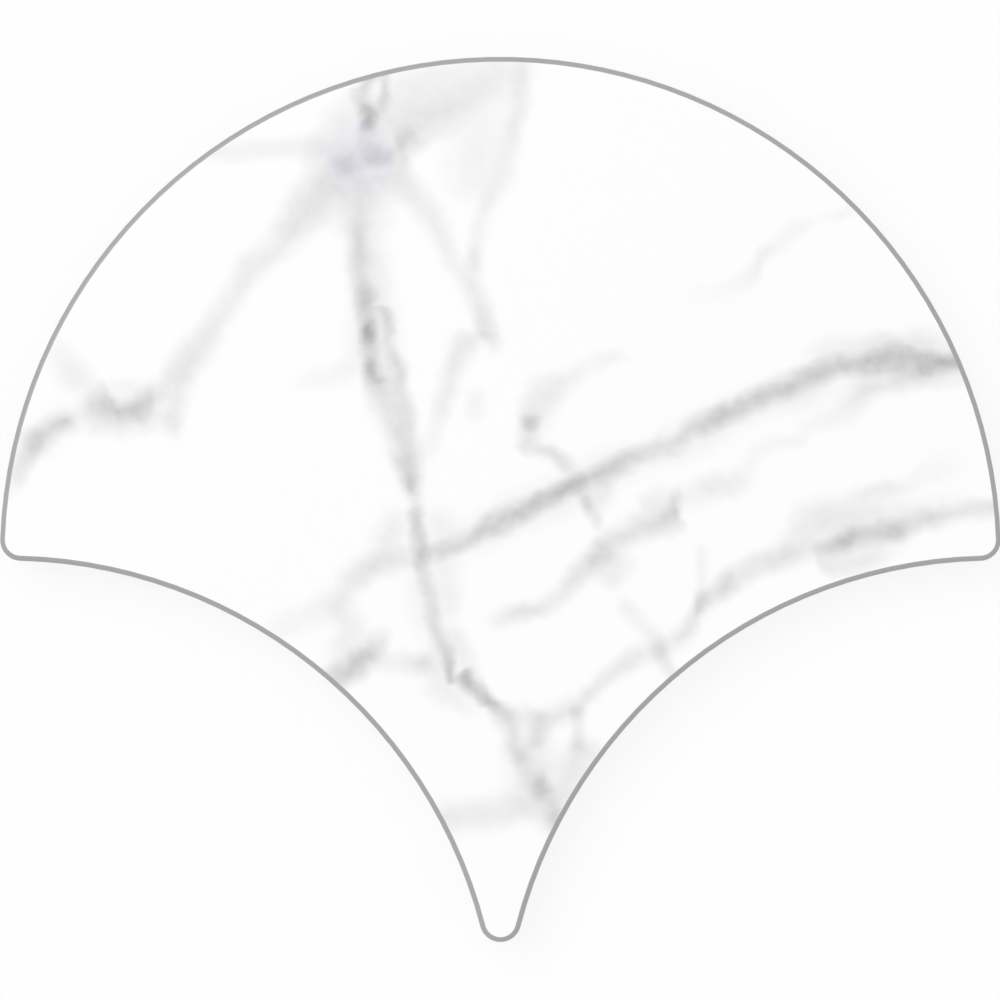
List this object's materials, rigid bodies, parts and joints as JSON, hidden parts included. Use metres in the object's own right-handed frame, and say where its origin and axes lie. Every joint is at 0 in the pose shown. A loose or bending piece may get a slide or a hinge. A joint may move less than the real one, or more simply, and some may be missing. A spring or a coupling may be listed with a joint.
{
  "type": "fan-shaped wall tile",
  "caption": "Fan-shaped glazed ceramic wall tile with a round crown, two hollow flanks that the next course nests in, a grey-veined white face and a keyed back.",
  "frame": {"origin": "centre of the crown arc, on the plane of the back", "axes": "+X across the width, +Y up the wall towards the crown, +Z out of the glazed face"},
  "size_m": [0.12, 0.1061, 0.008],
  "materials": {
    "glazed_tile": "satin white glaze printed with soft grey marble veins, thin and grey along the arris, over a bare pale grey body on the lower sides and the back"
  },
  "bodies": {
    "root": {"fan_tile": "glazed_tile"}
  },
  "joints": []
}
